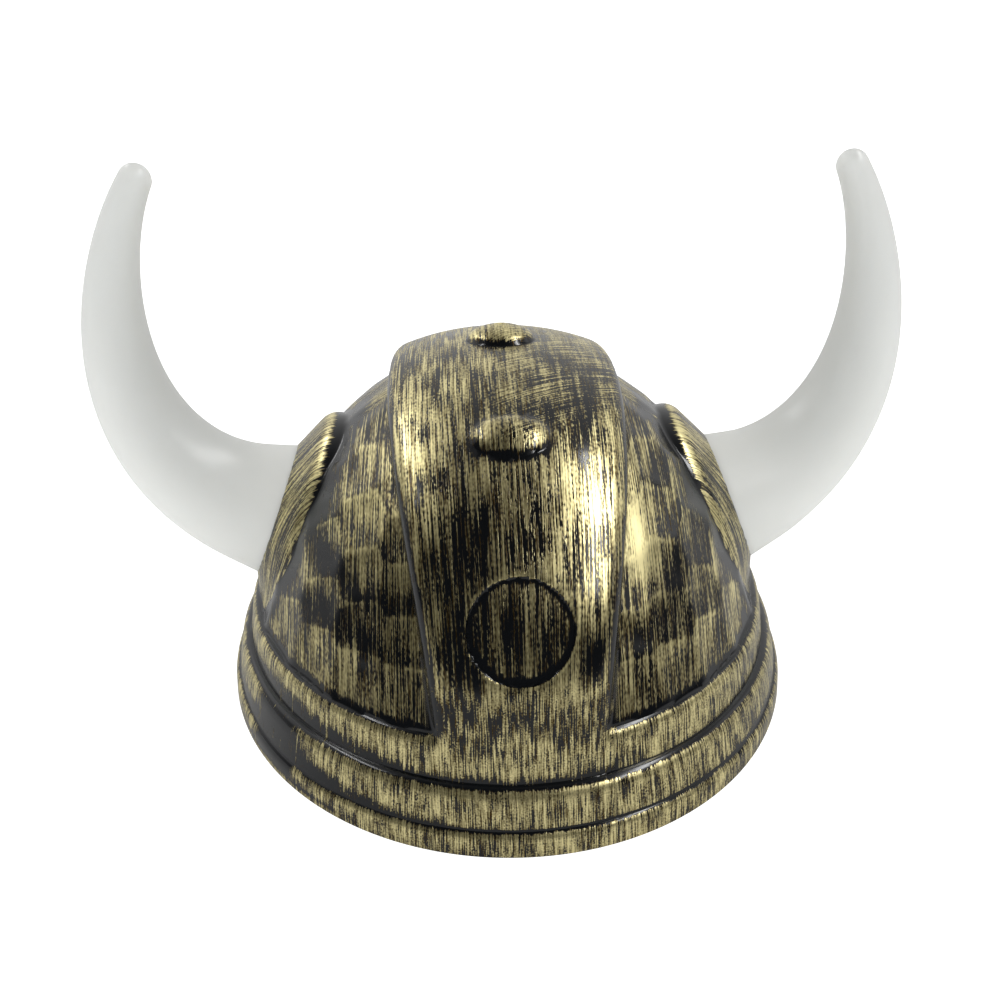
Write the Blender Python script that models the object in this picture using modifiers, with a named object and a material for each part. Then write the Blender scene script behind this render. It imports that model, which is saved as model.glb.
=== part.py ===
"""A horned viking costume helmet: one moulded plastic shell, and two hollow horns plugged into its sides.

Metres, +Z up, the front toward -Y and the horns along X. The origin is the middle of the rim, on the
surface that the helmet stands on. The shell's outside is where shell_depth() is nought: a function of
place that is below nought inside the plastic and joins the rim steps, the faceted panels, the raised
band and the two horn sockets with small fillets. shell() finds that surface along rays.
"""

import bmesh
import bpy
import numpy as np
from mathutils import Vector

# Shell
RIM_HALF_WIDTH = 0.100
RIM_HALF_LENGTH = 0.130
CROWN_HEIGHT = 0.115
SHELL_WALL = 0.0018

# How the shell's mesh is spread. Heights of the rows that the rim steps need, and the number of rows above them.
# The lowest row is under the rim, which a cutter then trims flat
RIM_ROWS = (
    -0.003, 0.0052, 0.0069, 0.0084, 0.0120, 0.0162, 0.0179, 0.0200, 0.0240, 0.0282, 0.0299, 0.0316, 0.0334, 0.0356,
)
DOME_ROWS = 13
# The rays start on a bulging profile this share of the shell's size, and tilt from level at the rim to this slant
# just above it, then on to upright at the crown
RAY_START = 0.98
RAY_PROFILE_POWER = 2.5
RAY_SLANT = np.radians(35)
RAY_SLANT_HEIGHT = 0.006
RAY_REACH = 0.032
# Rings are ellipses down to this share of the rim's size, and grow round above it
ROUND_RINGS_WITHIN = 0.4
HALVINGS = 24
# Turns from the front at which each row is tried, to find where it crosses the band's edge
PROBE_STEP = np.radians(2)
PROBES = 43
# Columns between the middle of the band and its edge, and the gap to the one on each side of that edge
BAND_COLUMNS = 3
EDGE_GAP = np.radians(1.4)
# Columns between the band's front edge and its back one, closest together on the sockets: column, share of the way
SIDE_COLUMNS = ((0, 0.0), (5, 0.27), (18, 0.66), (23, 1.0))

# The steps round the rim, lowest first: foot height, top height, half width at the foot and at the top
STEPS = (
    (0.0000, 0.0077, 0.1000, 0.0996),
    (0.0077, 0.0190, 0.0981, 0.0958),
    (0.0190, 0.0310, 0.0930, 0.0913),
)
# A step's wall is carried on below its foot and above its top by so many of its own heights
STEP_CARRIED_ON = (-6, 1.5)
STEP_ROUND = 0.0036
STEP_FILLET = 0.0005

# The two domes, which share a foot height: half width, half length, top height, roundness (2 is an ellipse)
DOME_FOOT = 0.0254
BAND_DOME = (0.0915, 0.1216, CROWN_HEIGHT, 2.12)
PANEL_DOME = (0.0835, 0.1150, 0.1100, 1.95)

# Toward their feet the panels and the band flare out: heights at the foot and where it starts, and how far
PANEL_FLARE = (0.0310, 0.0600, 0.0045)
BAND_FLARE = (0.0190, 0.0330, 0.0017)
FLARE_POWER = 1.5
BELOW_FLARE_SLOPE = 3

# The band runs over the crown from front to back, and widens toward the top
BAND_FOOT = 0.033
BAND_HALF_WIDTH_LOW = 0.0255
BAND_HALF_WIDTH_TOP = 0.0430
BAND_SPREAD = 1.6
BAND_EDGE_ROUND = 0.006
BAND_FILLET = 0.0008

# The panels' flats, as if hammered: heights of their rows, and distances of their columns from the middle
FACET_ROWS = (0.0390, 0.0515, 0.0633, 0.0753, 0.0855, 0.0950, 0.1030)
FACET_COLUMNS = (0.0, 0.0180, 0.0315, 0.0448, 0.0580, 0.0690)
# Columns further out than this share of a row's half width give way to turns no wider than the next value
FACET_COLUMNS_WITHIN = 0.9
FACET_WIDEST_TURN = np.radians(22)
FACET_RIDGE_SHARPNESS = 6000
SLOPE_REACH = 1e-5

# Details on the band: angle down from the crown, half width, half length, height above the band or depth below it
STUD = (33.0, 0.0122, 0.0088, 0.0034)
KNOB = (0.0, 0.0118, 0.0118, 0.0046)
RECESS = (68.2, 0.0147, 0.0147, 0.0009)
# A raised detail goes on below the band by this share of its height, so that it joins it everywhere
DETAIL_ROOT = 0.4
CUTTER_LENGTH = 0.030
STUD_SIDES = 24
RECESS_SIDES = 32
HOLE_SIDES = 36

# Horn sockets: a cone raised from each side, with the horn through its middle. The axis rises and leans forward
SOCKET_MIDDLE = Vector((0.0813, -0.0080, 0.0567))
SOCKET_RISE = np.radians(21.7)
SOCKET_LEAN = np.radians(3.1)
SOCKET_MOUTH_RADIUS = 0.0236
SOCKET_FOOT_RADIUS = 0.0401
SOCKET_HEIGHT = 0.0078
SOCKET_ROUND = 0.005
SOCKET_REACH = 0.026
SOCKET_FILLET = 0.0012

# Horns. Sections from root to tip: share of the length, turn up from the horn's axis in degrees, outer radius
HORN_SECTIONS = (
    (0.0, -4.7, 0.0236),
    (0.2, 19.6, 0.0183),
    (0.4, 45.2, 0.0145),
    (0.6, 66.2, 0.0111),
    (0.8, 81.6, 0.0080),
    (1.0, 98.9, 0.0052),
)
HORN_LENGTH = 0.1373
HORN_WALL = 0.0018
HORN_RINGS = 11
HORN_SIDES = 16
# Stretches that each ring's step along the middle line is added up from
LINE_STRETCHES = 12
LINE_POWER = 4
HORN_SETTLE = 0.10
TIP_RINGS = 3
# How each horn sits in its socket: side, turn of its axis toward the front, turn of its curl toward the front
HORN_SEATS = {
    "horn_left": (-1, 5.0, 1.0),
    "horn_right": (1, -8.5, 6.0),
}
FLANGE_RADIUS = 0.0262
FLANGE_THICKNESS = 0.0016
FLANGE_PLAY = 0.0010
FIT_GAP = 0.0003

# Colours as red, green, blue, then roughness and metallic
SHELL_PAINT = ((0.27, 0.22, 0.11), 0.40, 0.45)
HORN_PLASTIC = ((0.80, 0.82, 0.80), 0.38, 0.0)

SMOOTH_BELOW = np.radians(40)
NEARLY_NOUGHT = 1e-9


def new_collection(name):
    made = bpy.data.collections.new(name)
    bpy.context.scene.collection.children.link(made)
    return made


def material(name, colour, roughness, metallic):
    made = bpy.data.materials.new(name)
    made.use_nodes = True
    surface = made.node_tree.nodes["Principled BSDF"]
    surface.inputs["Base Color"].default_value = (*colour, 1)
    surface.inputs["Roughness"].default_value = roughness
    surface.inputs["Metallic"].default_value = metallic
    return made


def add_mesh(name, points, faces, into):
    mesh = bpy.data.meshes.new(name)
    mesh.from_pydata(points, [], faces)
    made = bpy.data.objects.new(name, mesh)
    into.objects.link(made)
    return made


def add_bmesh(name, bm, into):
    mesh = bpy.data.meshes.new(name)
    bm.to_mesh(mesh)
    bm.free()
    made = bpy.data.objects.new(name, mesh)
    made.hide_render = True
    made.display_type = "WIRE"
    into.objects.link(made)
    return made


def smooth(made):
    made.data.shade_smooth()
    made.data.set_sharp_from_angle(angle=SMOOTH_BELOW)


def rounded_max(a, b, reach):
    """The larger of two depths, with their crossing rounded over this reach."""
    blend = np.maximum(reach - np.abs(a - b), 0) / reach
    return np.maximum(a, b) + blend**2 * reach / 4


def rounded_min(a, b, reach):
    return -rounded_max(-a, -b, reach)


def dome_depth(x, y, z, dome):
    """Distance outside a superelliptic dome, upright below its foot."""
    half_width, half_length, top, power = dome
    around = np.hypot(x / half_width, y / half_length) + NEARLY_NOUGHT
    up = np.maximum(z - DOME_FOOT, 0) / (top - DOME_FOOT)
    size = (around**power + up**power) ** (1 / power)
    level = (around / size) ** (power - 1) * np.hypot(x / half_width**2, y / half_length**2) / around
    rise = (up / size) ** (power - 1) / (top - DOME_FOOT)
    return (size - 1) / np.hypot(level, rise)


def step_depth(x, y, z):
    """Distance outside the nearest rim step: an elliptic wall that flares to its foot, with a rounded top edge."""
    depth = np.full(np.shape(x), 1.0)
    for foot, top, width_foot, width_top in STEPS:
        share = np.clip((z - foot) / (top - foot), *STEP_CARRIED_ON)
        half_width = width_foot + (width_top - width_foot) * share
        half_length = half_width + RIM_HALF_LENGTH - RIM_HALF_WIDTH
        around = np.hypot(x / half_width, y / half_length) + NEARLY_NOUGHT
        steepness = np.hypot(x / half_width**2, y / half_length**2) / around
        wall = (around - 1) / steepness
        depth = np.minimum(depth, rounded_max(wall, z - top, STEP_ROUND))
    return depth


def flare_out(z, flare):
    """How far a foot is drawn out: a power of the share of the way down, and below the foot it drops back in."""
    low, high, far = flare
    down = np.clip((high - z) / (high - low), 0, 1)
    return far * down**FLARE_POWER - BELOW_FLARE_SLOPE * np.maximum(low - z, 0)


def facets():
    """Middles and normals of the planes that flatten the panels' dome."""
    half_width, half_length, top, power = PANEL_DOME
    middles = [(0.0, 0.0, top)]
    for height in FACET_ROWS:
        ring = (1 - ((height - DOME_FOOT) / (top - DOME_FOOT)) ** power) ** (1 / power)
        widest = FACET_COLUMNS_WITHIN * half_width * ring
        quarter = [np.arcsin(x / half_width / ring) for x in FACET_COLUMNS if x < widest]
        more = int(np.ceil((np.pi / 2 - quarter[-1]) / FACET_WIDEST_TURN))
        quarter += list(np.linspace(quarter[-1], np.pi / 2, more + 1)[1:])
        half = quarter + [np.pi - turn for turn in reversed(quarter[:-1])]
        for turn in half + [-turn for turn in half[1:-1]]:
            middles.append((half_width * ring * np.sin(turn), -half_length * ring * np.cos(turn), height))
    middles = np.array(middles)
    slopes = [dome_depth(*(middles + SLOPE_REACH * axis).T, PANEL_DOME) for axis in np.eye(3)]
    normals = np.stack(slopes, 1)
    return middles, normals / np.linalg.norm(normals, axis=1, keepdims=True)


def panel_depth(places, middles, normals):
    """Distance outside the facets, as a softened maximum over their planes, which rounds the ridges."""
    out = places @ normals.T - (middles * normals).sum(1)
    most = out.max(axis=-1, keepdims=True)
    near = np.exp(FACET_RIDGE_SHARPNESS * (out - most)).sum(axis=-1)
    return most[..., 0] + np.log(near) / FACET_RIDGE_SHARPNESS - flare_out(places[..., 2], PANEL_FLARE)


def band_half_width(z):
    up = np.clip((z - BAND_FOOT) / (CROWN_HEIGHT - BAND_FOOT), 0, 1)
    return BAND_HALF_WIDTH_LOW + (BAND_HALF_WIDTH_TOP - BAND_HALF_WIDTH_LOW) * up**BAND_SPREAD


def band_depth(x, y, z):
    top = dome_depth(x, y, z, BAND_DOME) - flare_out(z, BAND_FLARE)
    return rounded_max(top, np.abs(x) - band_half_width(z), BAND_EDGE_ROUND)


def socket_frame(side):
    """The middle of a socket's mouth, its outward axis, its forward direction and its upward one."""
    rise, lean = SOCKET_RISE, SOCKET_LEAN
    middle = Vector((side * SOCKET_MIDDLE.x, SOCKET_MIDDLE.y, SOCKET_MIDDLE.z))
    axis = Vector((side * np.cos(rise) * np.cos(lean), -np.sin(lean), np.sin(rise) * np.cos(lean)))
    up = (Vector((0, 0, 1)) - axis.z * axis).normalized()
    forward = axis.cross(up) * side
    return middle, axis, forward, up


def socket_depth(places, side):
    """Distance outside a socket: a cone on a short cylinder, cut flat at its mouth."""
    middle, axis, forward, up = (np.array(v) for v in socket_frame(side))
    away = places - middle
    along = away @ axis
    across = np.hypot(away @ forward, away @ up)
    spread = SOCKET_FOOT_RADIUS - SOCKET_MOUTH_RADIUS
    cone = along * spread + (across - SOCKET_MOUTH_RADIUS) * SOCKET_HEIGHT
    cone /= np.hypot(spread, SOCKET_HEIGHT)
    body = rounded_max(cone, across - SOCKET_FOOT_RADIUS, SOCKET_ROUND)
    return np.maximum(np.maximum(body, -along - SOCKET_REACH), along)


def shell_depth(places, middles, normals):
    """Distance outside the shell's outer surface, below nought within it."""
    x, y, z = np.moveaxis(places, -1, 0)
    depth = rounded_min(band_depth(x, y, z), panel_depth(places, middles, normals), BAND_FILLET)
    sockets = np.minimum(socket_depth(places, -1), socket_depth(places, 1))
    depth = rounded_min(depth, sockets, SOCKET_FILLET)
    return rounded_min(depth, step_depth(x, y, z), STEP_FILLET)


def shell_rows():
    """Starts of the rays, as (share of the rim's size, height, angle above level), from the rim to the crown."""
    power = RAY_PROFILE_POWER
    rows = []
    for z in RIM_ROWS:
        size = RAY_START * (1 - max(z / CROWN_HEIGHT, 0) ** power) ** (1 / power)
        rows.append((size, z, RAY_SLANT * np.clip(z / RAY_SLANT_HEIGHT, 0, 1)))
    last = np.arcsin((RIM_ROWS[-1] / CROWN_HEIGHT) ** (power / 2))
    for share in np.linspace(0, 1, DOME_ROWS + 1)[1:]:
        turn = last + (np.pi / 2 - last) * share
        size = RAY_START * np.cos(turn) ** (2 / power) if share < 1 else 0
        height = CROWN_HEIGHT * np.sin(turn) ** (2 / power)
        rows.append((size, height, RAY_SLANT + (np.pi / 2 - RAY_SLANT) * share))
    return np.array(rows)


def ray_ends(rows, turns, reach):
    """Places this far along every ray. Rings are ellipses at the rim and grow rounder toward the crown."""
    size, height, tilt = (column[:, None] for column in rows.T)
    ring = size + reach * np.cos(tilt) / RIM_HALF_WIDTH
    blend = np.clip(ring / ROUND_RINGS_WITHIN, 0, 1)
    blend = blend**2 * (3 - 2 * blend)
    half_length = RIM_HALF_WIDTH + (RIM_HALF_LENGTH - RIM_HALF_WIDTH) * blend
    x = RIM_HALF_WIDTH * ring * np.sin(turns)
    y = -half_length * ring * np.cos(turns)
    return np.stack([x, y, height + reach * np.sin(tilt)], -1)


def surface_on(rows, turns, planes):
    """Where each ray meets the outer surface, found by halving."""
    size, _, tilt = (column[:, None] for column in rows.T)
    near = np.maximum(-RAY_REACH, -RAY_START * size * RIM_HALF_WIDTH / np.maximum(np.cos(tilt), NEARLY_NOUGHT))
    near = near + np.zeros(turns.shape)
    far = np.full(turns.shape, RAY_REACH)
    for _ in range(HALVINGS):
        middle = (near + far) / 2
        inside = shell_depth(ray_ends(rows, turns, middle), *planes) < 0
        near = np.where(inside, middle, near)
        far = np.where(inside, far, middle)
    return ray_ends(rows, turns, (near + far) / 2)


def shell_columns(edge):
    """Turns of the columns once round from the front, where the band's edge stands at this turn."""
    number, share = np.transpose(SIDE_COLUMNS)
    share = np.interp(np.arange(number[-1] + 1), number, share)
    front = [*np.linspace(0, edge - EDGE_GAP, BAND_COLUMNS + 1), edge]
    side = edge + EDGE_GAP + (np.pi - 2 * (edge + EDGE_GAP)) * share
    half = np.array([*front, *side, *(np.pi - np.array(front[:0:-1]))])
    return np.concatenate([half, [np.pi], 2 * np.pi - half[:0:-1]])


def shell_surface():
    """The outer surface as rows of points, with columns of points that follow the band's edges."""
    planes = facets()
    rows = shell_rows()
    turns = PROBE_STEP * np.arange(PROBES)
    tried = surface_on(rows, np.tile(turns, (len(rows), 1)), planes)
    outside = np.abs(tried[..., 0]) > band_half_width(tried[..., 2])
    edges = np.where(outside.any(axis=1), turns[outside.argmax(axis=1)] - PROBE_STEP / 2, turns[-1])
    return surface_on(rows, np.array([shell_columns(edge) for edge in edges]), planes)


def grid_faces(rings, sides):
    """Quads between rings of the same number of points, each ring closed."""
    return [
        (r * sides + s, r * sides + (s + 1) % sides, (r + 1) * sides + (s + 1) % sides, (r + 1) * sides + s)
        for r in range(rings - 1)
        for s in range(sides)
    ]


def round_detail(name, detail, into, raised):
    """A low cap on the band, or the flat cutter of a recess in it."""
    angle, half_width, half_span, depth = detail
    angle = np.radians(angle)
    _, half_length, top, power = BAND_DOME
    rise = top - DOME_FOOT
    y = -half_length * np.sin(angle) ** (2 / power)
    z = rise * np.cos(angle) ** (2 / power)
    normal = Vector((0, -((-y / half_length) ** (power - 1)) / half_length, (z / rise) ** (power - 1) / rise))
    bm = bmesh.new()
    if raised:
        bmesh.ops.create_uvsphere(bm, u_segments=STUD_SIDES, v_segments=STUD_SIDES // 2, radius=1)
        bmesh.ops.scale(bm, vec=(half_width, half_span, depth), verts=bm.verts)
        keep = bm.verts[:] + bm.edges[:] + bm.faces[:]
        cut = bmesh.ops.bisect_plane(
            bm, geom=keep, plane_co=(0, 0, -DETAIL_ROOT * depth), plane_no=(0, 0, -1), clear_outer=True
        )
        bmesh.ops.edgeloop_fill(bm, edges=[e for e in cut["geom_cut"] if isinstance(e, bmesh.types.BMEdge)])
        bmesh.ops.recalc_face_normals(bm, faces=bm.faces)
    else:
        bmesh.ops.create_cone(
            bm, cap_ends=True, segments=RECESS_SIDES, radius1=1, radius2=1, depth=CUTTER_LENGTH
        )
        bmesh.ops.scale(bm, vec=(half_width, half_span, 1), verts=bm.verts)
        bmesh.ops.translate(bm, vec=(0, 0, CUTTER_LENGTH / 2 - depth), verts=bm.verts)
    made = add_bmesh(name, bm, into)
    made.rotation_mode = "QUATERNION"
    made.rotation_quaternion = normal.to_track_quat("Z", "Y")
    made.location = (0, y, z + DOME_FOOT)
    return made


def socket_hole(side, into):
    """The cutter of the round hole that a horn passes through."""
    middle, axis, _, _ = socket_frame(side)
    bm = bmesh.new()
    radius = SOCKET_MOUTH_RADIUS + FIT_GAP
    bmesh.ops.create_cone(
        bm, cap_ends=True, segments=HOLE_SIDES, radius1=radius, radius2=radius, depth=CUTTER_LENGTH
    )
    made = add_bmesh("socket_hole_left" if side < 0 else "socket_hole_right", bm, into)
    made.rotation_mode = "QUATERNION"
    made.rotation_quaternion = axis.to_track_quat("Z", "Y")
    made.location = middle
    return made


def floor_cutter(into):
    """The block that trims the rim flat at the height of the surface it stands on."""
    bm = bmesh.new()
    bmesh.ops.create_cube(bm, size=1)
    bmesh.ops.scale(bm, vec=(3 * RIM_HALF_WIDTH, 3 * RIM_HALF_LENGTH, CUTTER_LENGTH), verts=bm.verts)
    bmesh.ops.translate(bm, vec=(0, 0, -CUTTER_LENGTH / 2), verts=bm.verts)
    return add_bmesh("floor_cutter", bm, into)


def shell(into, cutters):
    """The moulded cap: an open surface, thickened inward, with its studs joined on and its openings cut."""
    points = shell_surface()
    rings, columns, _ = points.shape
    flat = [tuple(p) for p in points[:-1].reshape(-1, 3)] + [tuple(points[-1, 0])]
    crown = len(flat) - 1
    faces = grid_faces(rings - 1, columns)
    last = (rings - 2) * columns
    faces += [(last + s, last + (s + 1) % columns, crown) for s in range(columns)]
    made = add_mesh("shell", flat, faces, into)
    wall = made.modifiers.new("wall", "SOLIDIFY")
    wall.thickness = SHELL_WALL
    wall.offset = -1
    joins = (
        ("stud", "UNION", round_detail("stud", STUD, cutters, True)),
        ("knob", "UNION", round_detail("knob", KNOB, cutters, True)),
        ("recess", "DIFFERENCE", round_detail("recess", RECESS, cutters, False)),
        ("left hole", "DIFFERENCE", socket_hole(-1, cutters)),
        ("right hole", "DIFFERENCE", socket_hole(1, cutters)),
        ("flat rim", "DIFFERENCE", floor_cutter(cutters)),
    )
    for name, operation, other in joins:
        join = made.modifiers.new(name, "BOOLEAN")
        join.operation = operation
        join.object = other
        join.solver = "EXACT"
    smooth(made)
    made.data.materials.append(material("dry-brushed plastic", *SHELL_PAINT))


def horn_line(name):
    """A horn's middle line: places, the direction square to each section, and outer radii, from root to tip.

    The turn up from the axis and the radius are polynomials in the share of the length, through the sections.
    """
    side, lean, curl = HORN_SEATS[name]
    middle, axis, forward, up = (np.array(v) for v in socket_frame(side))
    table = np.array(HORN_SECTIONS)
    shares = np.linspace(0, 1, (HORN_RINGS - 1) * LINE_STRETCHES + 1)
    turns = np.radians(np.polyval(np.polyfit(table[:, 0], table[:, 1], LINE_POWER), shares))
    # Beyond the socket, the flats between a ring's points touch the real horn's circle
    radii = np.polyval(np.polyfit(table[:, 0], table[:, 2], LINE_POWER), shares) / np.cos(np.pi / HORN_SIDES)
    radii[0] = SOCKET_MOUTH_RADIUS
    ahead = axis + np.tan(np.radians(lean)) * forward
    ahead /= np.linalg.norm(ahead)
    upward = up - (up @ ahead) * ahead
    upward /= np.linalg.norm(upward)
    sideways = np.cross(upward, ahead)
    sideways *= np.sign(sideways @ forward)
    curl = np.radians(curl)
    bend = np.cos(curl) * upward + np.sin(curl) * sideways
    ways = np.cos(turns)[:, None] * ahead + np.sin(turns)[:, None] * bend
    steps = (ways[1:] + ways[:-1]) / 2 * HORN_LENGTH / (len(shares) - 1)
    places = middle + np.vstack([np.zeros(3), np.cumsum(steps, axis=0)])
    settle = np.clip(shares / HORN_SETTLE, 0, 1)[:, None]
    squares = axis * (1 - settle) + ways * settle
    squares /= np.linalg.norm(squares, axis=1, keepdims=True)
    kept = slice(None, None, LINE_STRETCHES)
    return places[kept], squares[kept], radii[kept], axis, forward


def ring(place, square, radius, forward):
    """Points of a circle square to a direction, its first point toward the front."""
    first = forward - (forward @ square) * square
    first /= np.linalg.norm(first)
    second = np.cross(square, first)
    turns = np.arange(HORN_SIDES)[:, None] * 2 * np.pi / HORN_SIDES
    return place + radius * (np.cos(turns) * first + np.sin(turns) * second)


def horn(name, into):
    """A hollow horn, open at its root, where a flange inside the shell holds it in its socket."""
    places, squares, radii, axis, forward = horn_line(name)
    tip, end, tip_radius = places[-1], squares[-1], radii[-1]
    root = places[0]
    slope = SOCKET_HEIGHT / (SOCKET_FOOT_RADIUS - SOCKET_MOUTH_RADIUS)
    wall_along = SHELL_WALL * np.hypot(1, slope)
    shoulder = slope * (FLANGE_RADIUS - SOCKET_MOUTH_RADIUS) + wall_along + FLANGE_PLAY
    foot = shoulder + FLANGE_THICKNESS

    rings = []
    inner_tip = tip_radius - HORN_WALL
    for turn in np.radians(np.linspace(90, 0, TIP_RINGS + 1))[1:-1]:
        rings.append(ring(tip + inner_tip * np.sin(turn) * end, end, inner_tip * np.cos(turn), forward))
    for place, square, radius in zip(places[::-1], squares[::-1], radii[::-1]):
        rings.append(ring(place, square, radius - HORN_WALL, forward))
    rings.append(ring(root - foot * axis, axis, SOCKET_MOUTH_RADIUS - HORN_WALL, forward))
    rings.append(ring(root - foot * axis, axis, FLANGE_RADIUS, forward))
    rings.append(ring(root - shoulder * axis, axis, FLANGE_RADIUS, forward))
    rings.append(ring(root - shoulder * axis, axis, SOCKET_MOUTH_RADIUS, forward))
    for place, square, radius in zip(places, squares, radii):
        rings.append(ring(place, square, radius, forward))
    for turn in np.radians(np.linspace(0, 90, TIP_RINGS + 1))[1:-1]:
        rings.append(ring(tip + tip_radius * np.sin(turn) * end, end, tip_radius * np.cos(turn), forward))

    points = [tuple(p) for p in np.concatenate(rings)]
    inner_pole, outer_pole = len(points), len(points) + 1
    points += [tuple(tip + inner_tip * end), tuple(tip + tip_radius * end)]
    faces = grid_faces(len(rings), HORN_SIDES)
    last = (len(rings) - 1) * HORN_SIDES
    faces += [((s + 1) % HORN_SIDES, s, inner_pole) for s in range(HORN_SIDES)]
    faces += [(last + s, last + (s + 1) % HORN_SIDES, outer_pole) for s in range(HORN_SIDES)]
    made = add_mesh(name, points, faces, into)
    bm = bmesh.new()
    bm.from_mesh(made.data)
    bmesh.ops.recalc_face_normals(bm, faces=bm.faces)
    bm.to_mesh(made.data)
    bm.free()
    smooth(made)
    made.data.materials.append(material(name + " plastic", *HORN_PLASTIC))


def main():
    for old in list(bpy.data.objects):
        bpy.data.objects.remove(old, do_unlink=True)
    helmet = new_collection("viking_helmet")
    cutters = new_collection("cutters")
    cutters.hide_render = True
    shell(helmet, cutters)
    for name in HORN_SEATS:
        horn(name, helmet)


main()
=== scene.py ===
"""Looks of a horned viking costume helmet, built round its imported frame.

Metres, +Z up, the front toward -Y and the horns along X. It loads the frame, makes the fine shell and the
two horns that stand for its solids, then the floor, the light and the camera.
"""

import bmesh
import bpy
import numpy as np
from mathutils import Matrix, Vector


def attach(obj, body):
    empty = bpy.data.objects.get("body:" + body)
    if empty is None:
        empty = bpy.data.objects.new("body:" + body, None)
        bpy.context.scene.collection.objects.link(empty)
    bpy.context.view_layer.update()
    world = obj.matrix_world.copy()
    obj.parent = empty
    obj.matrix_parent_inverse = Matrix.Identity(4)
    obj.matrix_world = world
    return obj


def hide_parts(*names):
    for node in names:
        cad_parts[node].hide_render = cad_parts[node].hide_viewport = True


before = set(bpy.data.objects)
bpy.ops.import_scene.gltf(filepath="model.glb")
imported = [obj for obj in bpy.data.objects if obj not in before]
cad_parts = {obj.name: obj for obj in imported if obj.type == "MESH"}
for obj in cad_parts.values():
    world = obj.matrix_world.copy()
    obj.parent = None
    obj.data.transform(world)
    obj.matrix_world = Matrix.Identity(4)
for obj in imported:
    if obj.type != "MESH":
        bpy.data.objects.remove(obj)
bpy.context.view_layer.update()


# ------------------------------------------------------------------------------------------------------------
# The shell: one piece of black styrene, moulded with its rim steps, faceted panels, raised band, stud, knob
# and horn sockets, and pierced for the horns. Its outside is where shell_depth() is nought, found along rays
# from inside the dome. A nearly dry brush of gold has been dragged downward over the glossy black.
# ------------------------------------------------------------------------------------------------------------
MM = 0.001
RIM_HALF_WIDTH = 0.09995
LENGTH_OVER_WIDTH = 0.030
CROWN_HEIGHT = 0.115
SHELL_WALL = 0.0018
RIM_CHAMFER = 0.00025

# Steps round the rim, lowest first: foot height, top height, half width at the foot and at the top
STEPS = (
    (0.0000, 0.0077, 0.09995, 0.0996),
    (0.0077, 0.0190, 0.0981, 0.0958),
    (0.0190, 0.0310, 0.0930, 0.0913),
)
STEP_ROUND = 0.0036
STEP_FILLET = 0.0005
# How far a step's wall goes on past its foot and its top, as shares of its height
STEP_WALL_SHARES = (-6, 1.5)

# Domes that share a foot height: half width, half length, top height, roundness (2 is an ellipse)
DOME_FOOT = 0.0254
BAND_DOME = (0.0915, 0.1216, CROWN_HEIGHT, 2.12)
PANEL_DOME = (0.0835, 0.1150, 0.1100, 1.95)
# Toward their feet the panels and the band flare out: heights at the foot and where it starts, and how far
PANEL_FLARE = (0.0310, 0.0600, 0.0045)
BAND_FLARE = (0.0190, 0.0330, 0.0017)
FLARE_CURVE = 1.5
FLARE_DROP = 3
# Half width and height where the panels meet the top step
PANEL_FOOT = (0.0880, 0.0318)

# The band over the crown widens toward the top
BAND_FOOT = 0.033
BAND_HALF_WIDTH_LOW = 0.0255
BAND_HALF_WIDTH_TOP = 0.0430
BAND_SPREAD = 1.6
BAND_EDGE_ROUND = 0.006
BAND_FILLET = 0.0008

# The panels' flats: heights of their rows, distances of their columns from the middle
FACET_ROWS = (0.0390, 0.0515, 0.0633, 0.0753, 0.0855, 0.0950, 0.1030)
FACET_COLUMNS = (0.0, 0.0180, 0.0315, 0.0448, 0.0580, 0.0690)
# Columns stop at this share of a row's half width, and turns no wider than this fill the rest of the side
FACET_COLUMNS_END = 0.9
FACET_WIDEST_TURN = np.radians(22)
FACET_RIDGE_SHARPNESS = 6000
# Each flat is dished: its depth in the middle, and how far its plane is above the next one's where it is full
FACET_DISH = 0.00018
FACET_DISH_GAP = 0.0011

# Details on the band: angle down from the crown in degrees, half width, half length, height or depth
STUD = (33.0, 0.0122, 0.0088, 0.0034)
KNOB = (0.0, 0.0118, 0.0118, 0.0046)
RECESS = (68.2, 0.0147, 0.0147, 0.0009)
STUD_ROUNDNESS = 0.6
KNOB_ROUNDNESS = 0.55
RECESS_WALL = 0.0004
DIMPLE_RADIUS = 0.0017
DIMPLE_DEPTH = 0.0005
# The dimple's raised lip: height as a share of the depth, then middle and width as shares of the radius
DIMPLE_LIP = (0.4, 1.2, 0.3)
# A detail reaches this far in and out of the band's surface
DETAIL_REACH = 0.03

# Horn sockets: a cone raised from each side, with the horn through its middle
SOCKET_MIDDLE = np.array((0.0813, -0.0080, 0.0567))
SOCKET_RISE = np.radians(21.7)
SOCKET_LEAN = np.radians(3.1)
SOCKET_MOUTH_RADIUS = 0.0236
SOCKET_FOOT_RADIUS = 0.0401
SOCKET_HEIGHT = 0.0078
SOCKET_ROUND = 0.005
SOCKET_REACH = 0.026
SOCKET_FILLET = 0.0012
FIT_GAP = 0.0003
HOLE_SIDES = 128
HOLE_DEPTH = 0.030

# How the mesh is spread: rows on each stretch of the profile, outside and inside, and columns from the band's
# middle to its edge in front, between its two edges, and at the back
OUTER_ROWS = {"wall": 9, "ledge": 8, "dome": 118, "crown": 22}
INNER_ROWS = {"wall": 3, "ledge": 3, "dome": 24, "crown": 3}
FRONT_COLUMNS = 40
SIDE_COLUMNS = 150
BACK_COLUMNS = 20
# How far the columns are drawn together at the band's edges, from 0 to 1
BAND_CROWDING = 0.35
SIDE_CROWDING = 0.15
# How far from an outline the grid is drawn toward it, and how far in and out it is looked for
DETAIL_CROWD = 0.0022
SOCKET_CROWD = 0.0035
OUTLINE_REACH = 0.02
LAY_REACH = 0.009
# Rings are circles up to this radius at the crown, and full ellipses once they are this much wider
CROWN_RADIUS = 0.0135
OVAL_OVER = 0.05
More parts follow.
